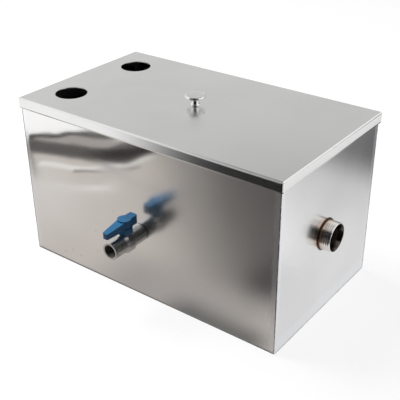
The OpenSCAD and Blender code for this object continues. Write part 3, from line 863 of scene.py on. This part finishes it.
@dataclass
class Studio:
    """Floor, light, reflectors and camera, in metres.

    Of two reflectors in one place, the higher one shows.
    """

    floor_half: float = 5.0
    floor_glow: float = 0.88
    floor_pale: float = 0.16
    floor_bounce: float = 0.4
    sky_light: float = 0.14
    key_place: Triple = (-0.9, -0.1, 1.5)
    key_size: float = 1.0
    key_watts: float = 37.0
    camera_place: Triple = (0.4914, -0.6400, 0.5296)
    azimuth: float = 37.211
    elevation: float = 29.068
    roll: float = -0.4998
    lens: float = 69.85
    sensor: float = 36.0
    reflectors: Tuple[Reflector, ...] = (
        # Floor in front and its shadows
        Patch(
            "front_floor_tone", (0.61, 0.565, 0.53),
            ((-0.62, -0.1022), (-0.62, -0.25), *DARK_BAND, (-0.15, -0.52), (0.30, -0.52), (0.40, -0.1022)),
        ),
        Card(
            "front_left_glow", (0.73, 0.70, 0.675), (-0.33, -0.17, 0.0015),
            (0.22, 0.15), (0.1, 0.1), form=Form.ROUND, cut=0.44,
        ),
        Card(
            "front_shadow", (0.10, 0.095, 0.092), (0.005, -0.467, 0.002),
            (0.275, 0.375), (0.345, 0.613), -44.4,
        ),
        Card(
            "front_near_shade", (0.40, 0.375, 0.36), (0.02, -0.115, 0.0022),
            (0.14, 0.075), (0.3, 0.3), cut=0.19,
        ),
        Card(
            "front_edge_shadow", (0.03, 0.03, 0.03), (0.105, -0.207, 0.0024),
            (0.05, 0.05), (0.2, 0.2), form=Form.ROUND,
        ),
        Card(
            "front_foot_shadow", (0.17, 0.165, 0.16), (0.10, -0.098, 0.0025),
            (0.09, 0.042), (0.4, 0.1), cut=-0.06,
        ),
        Card("front_far_shadow", (0.03, 0.03, 0.03), (0.10, -0.65, 0.0027), (0.62, 0.19), (0.65, 0.7)),
        Card(
            "front_right_shadow", (0.03, 0.029, 0.028), (0.3109, -0.5180, 0.002),
            (0.315, 0.32), (0.95, 0.9), -30.3,
        ),
        Card(
            "right_far_shadow", (0.03, 0.03, 0.03), (0.690, -0.207, 0.002),
            (0.38, 0.20), (0.9, 0.8), -30.3,
        ),
        # Bands on the floor at the front left
        Ribbon("grey_band", (0.42, 0.395, 0.375), (
            (-0.427, -0.310), (-0.408, -0.326), (-0.387, -0.339), (-0.372, -0.347), (-0.356, -0.354),
            (-0.340, -0.361), (-0.324, -0.367), (-0.307, -0.373), (-0.292, -0.380),
            (-0.280, -0.389), (-0.270, -0.399),
        ), 0.030, 0.7, 0.003),
        Ribbon("dark_band", (0.12, 0.114, 0.11), DARK_BAND, 0.030, 0.5, 0.004),
        Ribbon("dark_band_end", (0.03, 0.028, 0.027), (
            (-0.342, -0.321), (-0.318, -0.331), (-0.296, -0.343), (-0.273, -0.357), (-0.255, -0.372),
            (-0.246, -0.389), (-0.240, -0.408),
        ), 0.025, 0.3, 0.0042, 0.5),
        Ribbon("thin_band_top", (0.30, 0.29, 0.27), (
            (-0.393, -0.380), (-0.379, -0.388), (-0.364, -0.393), (-0.350, -0.398), (-0.338, -0.405),
            (-0.328, -0.411),
        ), 0.014, 0.2, 0.0046, 0.4),
        Ribbon("dark_band_low", (0.06, 0.057, 0.055), (
            (-0.314, -0.316), (-0.2875, -0.324), (-0.2695, -0.333), (-0.2545, -0.344), (-0.2505, -0.352),
            (-0.249, -0.362), (-0.2495, -0.376),
        ), 0.018, 0.5, 0.0041, 0.3),
        Ribbon("thin_band", (0.06, 0.056, 0.053), (
            (-0.431, -0.309), (-0.430, -0.322), (-0.420, -0.335), (-0.407, -0.341), (-0.399, -0.352),
            (-0.391, -0.365), (-0.377, -0.375), (-0.361, -0.380), (-0.346, -0.385), (-0.334, -0.391),
            (-0.325, -0.398), (-0.316, -0.403),
        ), 0.012, 0.4, 0.005),
        Ribbon("light_band", (0.86, 0.84, 0.82), (
            (-0.349, -0.260), (-0.331, -0.268), (-0.318, -0.272), (-0.302, -0.277), (-0.286, -0.283),
            (-0.274, -0.292), (-0.262, -0.302), (-0.251, -0.312), (-0.240, -0.327),
        ), 0.012, 0.3, 0.004),
        Ribbon("light_band_end", (0.70, 0.67, 0.65), (
            (-0.240, -0.327), (-0.232, -0.345), (-0.228, -0.369), (-0.227, -0.392),
        ), 0.012, 0.3, 0.0039),
        Ribbon("thin_line", (0.30, 0.28, 0.27), (
            (-0.286, -0.271), (-0.266, -0.285), (-0.243, -0.303), (-0.230, -0.315), (-0.221, -0.328),
            (-0.216, -0.342),
        ), 0.006, 0.4, 0.005),
        Ribbon("low_light_band", (0.80, 0.77, 0.75), (
            (-0.300, -0.207), (-0.287, -0.212), (-0.267, -0.223), (-0.240, -0.237), (-0.218, -0.255),
            (-0.207, -0.265), (-0.194, -0.280),
        ), 0.014, 0.3, 0.004),
        Ribbon("dark_corner", (0.30, 0.29, 0.28), (
            (-0.398, -0.277), (-0.367, -0.255), (-0.340, -0.233), (-0.321, -0.214),
        ), 0.014, 0.3, 0.0045),
        # Upright cards in front and to the right
        Card(
            "dark_room", (0.012, 0.012, 0.012), (0.80, -0.75, 0.35),
            (1.08, 0.42), (0.83, 0.85), stand=Stand.UPRIGHT,
        ),
        Card(
            "dark_room_foot", (0.012, 0.012, 0.012), (0.08, -0.752, 0.03),
            (0.70, 0.16), (0.60, 0.7), stand=Stand.UPRIGHT,
        ),
        Card(
            "dark_room_high", (0.012, 0.012, 0.012), (0.95, -0.751, 0.95),
            (0.92, 0.41), (0.9, 0.88), stand=Stand.UPRIGHT,
        ),
        Card(
            "front_left_room", (0.40, 0.40, 0.40), (-0.30, -0.753, 0.66),
            (0.30, 0.42), (0.6, 0.7), stand=Stand.UPRIGHT,
        ),
        Card(
            "dark_side", (0.02, 0.02, 0.02), (1.25, -0.62, 0.70),
            (0.34, 0.75), (0.8, 0.85), 90.0, Stand.UPRIGHT,
        ),
        # Cards above, below, beside and behind
        Card("overhead_stripe", (0.22, 0.22, 0.22), (-0.08, 0.0, 1.28), (0.70, 0.80), (0.75, 0.85)),
        Card("foot_shadow", (0.10, 0.10, 0.10), (-0.0015, 0.0, 0.0005), (0.177, 0.1036), (0.982, 0.985)),
        Card(
            "dark_back", (0.03, 0.03, 0.03), (0.72, 1.29, 0.25),
            (0.18, 0.34), (0.7, 0.75), stand=Stand.UPRIGHT,
        ),
        Card(
            "right_floor_tone", (0.79, 0.79, 0.79), (0.0448, 0.2054, 0.0002),
            (0.275, 0.40), (0.82, 0.8), -30.3,
        ),
        Card(
            "right_floor_low", (0.76, 0.76, 0.76), (0.1935, -0.0553, 0.0003),
            (0.045, 0.15), (0.6, 0.7), -30.3,
        ),
        Card(
            "right_floor_shade", (0.66, 0.66, 0.66), (0.31, 0.27, 0.002),
            (0.14, 0.16), (0.1, 0.1), form=Form.ROUND,
        ),
        Card("right_back_flag", (0.13, 0.13, 0.135), (0.33, 0.565, 0.003), (0.20, 0.30), (0.6, 0.6)),
        Card("overhead_tone", (0.625, 0.625, 0.62), (-1.75, 2.2, 1.3), (1.9, 1.7), (0.75, 0.77)),
        Card(
            "overhead_shade", (0.42, 0.42, 0.415), (-0.5, 1.4, 1.29),
            (0.9, 0.8), (0.1, 0.1), form=Form.ROUND,
        ),
        Card("left_floor_tone", (0.74, 0.73, 0.72), (-0.48, 0.25, 0.001), (0.28, 0.35), (0.3, 0.3)),
        Card("back_floor_tone", (0.70, 0.70, 0.69), (-0.25, 0.36, 0.0015), (0.40, 0.26), (0.3, 0.3)),
        Card(
            "back_room", (0.30, 0.30, 0.30), (0.30, 1.30, 0.25),
            (1.0, 0.30), (0.6, 0.6), stand=Stand.UPRIGHT,
        ),
    )

    def seen(self, shader: Shader) -> Sock:
        """Tells the rays that show a surface from those that only carry light on.

        Args:
            shader: Tree to add to.

        Returns:
            1 for rays from the camera, from shiny surfaces and through clear ones, else 0.
        """
        path = shader.node("ShaderNodeLightPath")
        kinds = ("Is Camera Ray", "Is Glossy Ray", "Is Transmission Ray")
        camera, shiny, clear = (shader.value(path, kind) for kind in kinds)
        return camera.upper(shiny).upper(clear)

    def build_world(self) -> None:
        """Makes a world that looks white and lights softly."""
        world = bpy.data.worlds.new("studio")
        world.use_nodes = True
        shader = Shader(world.node_tree, "ShaderNodeOutputWorld")
        strength = self.sky_light + self.seen(shader) * (1 - self.sky_light)
        sky = shader.node("ShaderNodeBackground", None, {"Color": (1, 1, 1, 1), "Strength": strength})
        shader.tree.links.new(sky.outputs[0], shader.output.inputs["Surface"])
        bpy.context.scene.world = world

    def build_floor(self) -> None:
        """Makes a pale floor that looks white and keeps the shadow."""
        half = self.floor_half
        mesh = bpy.data.meshes.new("floor")
        corners = [(-half, -half, 0), (half, -half, 0), (half, half, 0), (-half, half, 0)]
        mesh.from_pydata(corners, [], [(0, 1, 2, 3)])
        made = bpy.data.materials.new("pale_floor")
        made.use_nodes = True
        shader = Shader(made.node_tree, "ShaderNodeOutputMaterial")
        plain = shader.node("ShaderNodeBsdfDiffuse", None, {"Color": (*(self.floor_bounce,) * 3, 1)})
        pale = shader.node("ShaderNodeBsdfDiffuse", None, {"Color": (*(self.floor_pale,) * 3, 1)})
        glow = shader.node("ShaderNodeEmission", None, {"Color": (1, 1, 1, 1), "Strength": self.floor_glow})
        bright = shader.node("ShaderNodeAddShader", None, {0: pale.outputs[0], 1: glow.outputs[0]})
        both = shader.node("ShaderNodeMixShader", None, {
            0: self.seen(shader), 1: plain.outputs[0], 2: bright.outputs[0],
        })
        shader.tree.links.new(both.outputs[0], shader.output.inputs["Surface"])
        mesh.materials.append(made)
        floor = bpy.data.objects.new("floor", mesh)
        bpy.context.scene.collection.objects.link(floor)

    def build_light(self) -> None:
        """Hangs one large soft lamp above the trap, to the left."""
        lamp = bpy.data.lights.new("key_lamp", "AREA")
        lamp.shape = "SQUARE"
        lamp.size = self.key_size
        lamp.energy = self.key_watts
        hung = bpy.data.objects.new("key_lamp", lamp)
        hung.location = self.key_place
        hung.rotation_euler = (-Vector(self.key_place)).to_track_quat("-Z", "Y").to_euler()
        hung.visible_glossy = False
        bpy.context.scene.collection.objects.link(hung)

    def build_camera(self) -> None:
        """Sets the camera at the photograph's place and angle."""
        az, el, turn = (math.radians(angle) for angle in (self.azimuth, self.elevation, self.roll))
        right = Vector((math.cos(az), math.sin(az), 0))
        back = Vector((math.sin(az) * math.cos(el), -math.cos(az) * math.cos(el), math.sin(el)))
        up = back.cross(right)
        rolled_right = math.cos(turn) * right + math.sin(turn) * up
        rolled_up = math.cos(turn) * up - math.sin(turn) * right
        lens = bpy.data.cameras.new("camera")
        lens.lens = self.lens
        lens.sensor_width = self.sensor
        camera = bpy.data.objects.new("camera", lens)
        turned = Matrix((rolled_right, rolled_up, back)).transposed().to_4x4()
        camera.matrix_world = Matrix.Translation(self.camera_place) @ turned
        bpy.context.scene.collection.objects.link(camera)
        bpy.context.scene.camera = camera

    def build(self) -> None:
        """Makes the whole studio."""
        bpy.context.scene.view_settings.view_transform = "Standard"
        self.build_camera()
        self.build_world()
        self.build_floor()
        self.build_light()
        for reflector in self.reflectors:
            reflector.build()


@dataclass
class Tank:
    """Folded tank with the weld beads round its end panels, in millimetres.

    The beads' middle lies set in from the tank's faces. Swell varies their radius, and wobble and lift move
    them out and over; the paces say how fast these noises change along the bead.
    """

    half_length: float = 175.0
    half_depth: float = 100.0
    bead_top: float = 198.3
    bead_low: float = 0.75
    bead_set: float = 0.45
    bend: float = 1.6
    bend_steps: int = 6
    bead_r: float = 0.65
    bead_step: float = 1.4
    bead_sides: int = 10
    swell: float = 0.16
    swell_pace: float = 0.9
    wobble: float = 0.14
    wobble_pace: float = 0.35
    lift: float = 0.1
    lowest: float = 0.02

    def bead_path(self) -> List[Pair]:
        """Follows one end's joint: down the front, along the floor and up the back.

        Returns:
            Depth and height of the points.
        """
        edge, low = self.half_depth - self.bead_set, self.bead_low
        fall = self.bead_top - self.bend - low
        line: List[Pair] = []
        count = int(fall / self.bead_step)
        for step in range(count + 1):
            line.append((-edge, self.bead_top - fall * step / count))
        for step in range(1, self.bend_steps):
            turn = math.radians(90 * step / self.bend_steps)
            line.append((-edge + self.bend * (1 - math.cos(turn)), low + self.bend * (1 - math.sin(turn))))
        count = int((edge - self.bend) / self.bead_step)
        for step in range(count + 1):
            line.append(((edge - self.bend) * (step / count - 1), low))
        return line + [(-y, z) for y, z in reversed(line[:-1])]

    def build_bead(self, name: str, side: int) -> None:
        """Makes the bead round one end.

        Args:
            name: Name of the piece.
            side: -1 for the left end, 1 for the right one.
        """
        line = self.bead_path()
        rows: List[List[Triple]] = []
        for place, (y, z) in enumerate(line):
            ahead, behind = line[min(place + 1, len(line) - 1)], line[max(place - 1, 0)]
            along = Vector((ahead[0] - behind[0], ahead[1] - behind[1])).normalized()
            # The other two numbers keep the noises, and those of the two ends, apart
            wobble = noise.noise(Vector((self.wobble_pace * place, 7.0 * side, 0.0)))
            swell = noise.noise(Vector((self.swell_pace * place, 3.0 * side, 5.0)))
            r = self.bead_r * (1 + self.swell * swell)
            row: List[Triple] = []
            for turn in turns(self.bead_sides):
                out = r * math.cos(turn) + self.wobble * wobble
                over = r * math.sin(turn) + self.lift * swell
                x = side * (self.half_length - self.bead_set + out)
                row.append((x, y + over * -along.y, max(z + over * along.x, self.lowest)))
            rows.append(row)
        make_piece(name, skin(rows, closed=False), SEAM_STEEL, "tank")

    def build(self) -> None:
        """Makes the beads."""
        self.build_bead("left_seam", -1)
        self.build_bead("right_seam", 1)

    def dress(self) -> None:
        """Gives the tank's sheets their finishes."""
        dress(["tank_wrap"], FRONT_SHEET)
        dress(["left_end", "right_end"], END_SHEET)


@dataclass
class Outlet:
    """Threaded outlet stub with its weld, in millimetres; along is measured on X."""

    axis_y: float = -5.0
    axis_z: float = 100.0
    start: float = 168.0
    wall: float = 175.0
    end: float = 188.5
    outer_r: float = 16.6
    bore_r: float = 14.7
    weld_leg: float = 1.6
    weld_under: float = 0.2
    weld_gap: float = 0.3
    weld_steps: int = 6
    fine_ripple: Pair = (0.08, 34.0)
    broad_ripple: Pair = (0.07, 11.0)
    pitch: float = 2.309
    depth: float = 0.2
    thread_start: float = 177.4
    thread_gap: float = 0.2
    run_out: float = 0.4
    rings_per_turn: int = 14
    outer_edge: float = 0.5
    bore_edge: float = 0.95
    sides: int = 160
    crease: float = 50.0

    def ring(self, along: float, reach: Callable[[float], float]) -> List[Triple]:
        """One ring of points.

        Args:
            along: Place on X.
            reach: Radius at a turn in radians.

        Returns:
            The ring's points.
        """
        points: List[Triple] = []
        for t in turns(self.sides):
            points.append((along, self.axis_y + reach(t) * math.cos(t), self.axis_z + reach(t) * math.sin(t)))
        return points

    def thread(self, along: float) -> Callable[[float], float]:
        """Shapes the thread, which runs out at both ends.

        Args:
            along: Place on X.

        Returns:
            Radius of the thread there at a turn in radians.
        """
        coming = (along - self.thread_start) / self.pitch
        going = (self.end - self.thread_gap - along) / (self.run_out * self.pitch)
        depth = self.depth * max(min(1.0, coming, going), 0.0)
        return lambda t: self.outer_r - depth * (0.5 - 0.5 * math.cos(2 * math.pi * along / self.pitch - t))

    def bead(self, share: float) -> Callable[[float], float]:
        """Shapes the weld, with ripples of two sizes round it.

        Args:
            share: Share of the weld's rounded profile, from the wall.

        Returns:
            Radius of the weld there at a turn in radians.
        """
        lift = self.weld_leg * math.cos(share * math.pi / 2)
        (fine, many), (broad, few) = self.fine_ripple, self.broad_ripple
        return lambda t: self.outer_r + lift * (
            1 + fine * math.sin(many * t) + broad * math.sin(few * t + 1.0)
        )

    def build(self) -> None:
        """Makes the stub, which stands for its CAD node."""
        rows = [self.ring(along, lambda t: self.outer_r) for along in (self.start, self.wall - self.weld_gap)]
        for step in range(self.weld_steps + 1):
            share = step / self.weld_steps
            out = (self.weld_leg + self.weld_under) * math.sin(share * math.pi / 2)
            rows.append(self.ring(self.wall - self.weld_under + out, self.bead(share)))
        length = self.end - self.outer_edge - self.thread_start
        count = int(length / self.pitch * self.rings_per_turn)
        for step in range(count + 1):
            along = self.thread_start + length * step / count
            rows.append(self.ring(along, self.thread(along)))
        for along, r in (
            (self.end, self.outer_r - self.outer_edge), (self.end, self.bore_r + self.bore_edge),
            (self.end - self.bore_edge, self.bore_r), (self.start, self.bore_r),
        ):
            rows.append(self.ring(along, lambda t, r=r: r))
        mesh = skin(rows, closed=True)
        stub = make_piece("threaded_outlet", mesh, PIPE_STEEL, "tank", self.crease)
        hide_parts("outlet_nipple")

    def dress(self) -> None:
        """Gives the hidden CAD stub the same finish."""
        dress(["outlet_nipple"], PIPE_STEEL)


@dataclass
class Inside:
    """Baffles, their guides, and the strainer basket on its rails."""

    sheets: Tuple[str, ...] = (
        "inlet_guide_front", "inlet_guide_back", "outlet_guide_front", "outlet_guide_back",
        "inlet_baffle", "outlet_baffle", "basket_rail_front", "basket_rail_back", "strainer_basket",
    )

    def dress(self) -> None:
        """Gives the inside sheets and the wire handle their finishes."""
        dress(self.sheets, INNER_SHEET)
        dress(["basket_handle"], PLAIN_PIPE)


@dataclass
class Lid:
    """Lid with its seal and knob."""

    polished: Tuple[str, ...] = ("lid_knob", "knob_washer", "knob_screw")

    def dress(self) -> None:
        """Gives the lid's nodes their finishes."""
        dress(["lid"], LID_SHEET)
        dress(["lid_seal"], SEAL_RUBBER)
        dress(self.polished, POLISHED_STEEL)


@dataclass
class Valve:
    """Ball valve with its lever, in millimetres; along is measured out from the front wall."""

    axis_z: float = 86.5
    wall_y: float = -100.0
    mouth: float = 50.1
    thread_end: float = 39.5
    bore_r: float = 7.6
    crest_r: float = 6.95
    depth: float = 0.5
    pitch: float = 1.337
    rings_per_turn: int = 10
    sides: int = 96
    crease: float = 60.0
    edge: float = 0.8
    edge_steps: int = 3
    edge_angle: float = 40.0

    def ring(self, along: float, reach: Callable[[float], float]) -> List[Triple]:
        """One ring of points.

        Args:
            along: Distance from the front wall.
            reach: Radius at a turn in radians.

        Returns:
            The ring's points.
        """
        y = self.wall_y - along
        return [(reach(t) * math.cos(t), y, self.axis_z + reach(t) * math.sin(t)) for t in turns(self.sides)]

    def thread(self, along: float) -> Callable[[float], float]:
        """Shapes the female thread, which runs out at the mouth.

        Args:
            along: Distance from the front wall.

        Returns:
            Radius of the thread there at a turn in radians.
        """
        depth = self.depth * min(1.0, (self.mouth - along) / self.pitch)
        root = self.crest_r + self.depth - depth
        return lambda t: root + depth * (0.5 - 0.5 * math.cos(2 * math.pi * along / self.pitch - t))

    def build_mouth_thread(self) -> None:
        """Cuts the female thread of the mouth as a lining of the plain bore."""
        count = int((self.mouth - self.thread_end) / self.pitch * self.rings_per_turn)
        rows: List[List[Triple]] = []
        for step in range(count + 1):
            along = self.thread_end + (self.mouth - self.thread_end) * step / count
            rows.append(self.ring(along, self.thread(along)))
        rows.append(self.ring(self.mouth, lambda t: self.bore_r))
        rows.append(self.ring(self.thread_end, lambda t: self.bore_r))
        mesh = skin(rows, closed=True)
        # The thread takes painted shade: the dark copy of the valve's steel stands for the shade inside the
        # mouth
        make_piece("mouth_thread", mesh, SHADED_THREAD_STEEL, "tank", self.crease)

    def round_lever(self) -> None:
        """Rounds the moulded lever's edges."""
        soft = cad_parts["valve_lever"].modifiers.new("moulded_edges", "BEVEL")
        soft.width = self.edge * MM
        soft.segments = self.edge_steps
        soft.limit_method = "ANGLE"
        soft.angle_limit = math.radians(self.edge_angle)
        soft.harden_normals = True

    def build(self) -> None:
        """Makes the mouth's thread and rounds the lever."""
        self.build_mouth_thread()
        self.round_lever()

    def dress(self) -> None:
        """Gives the valve's nodes their finishes."""
        dress(["drain_nipple"], PLAIN_PIPE)
        dress(["valve_body", "ball_retainer", "valve_stem"], VALVE_STEEL)
        dress(["valve_ball", "lever_screw"], POLISHED_STEEL)
        dress(["inner_seat", "outer_seat"], SEAT_PLASTIC)
        dress(["stem_ring"], SEAL_RUBBER)
        dress(["valve_lever", "lever_cap"], LEVER_PLASTIC)


def main() -> None:
    """Builds the studio and then each sub-assembly in order."""
    logging.basicConfig(level=logging.INFO, format="%(message)s")
    Studio().build()
    tank, outlet, inside, lid, valve = Tank(), Outlet(), Inside(), Lid(), Valve()
    for part in (tank, outlet, valve):
        part.build()
    for part in (tank, outlet, inside, lid, valve):
        part.dress()


if __name__ == "__main__":
    main()
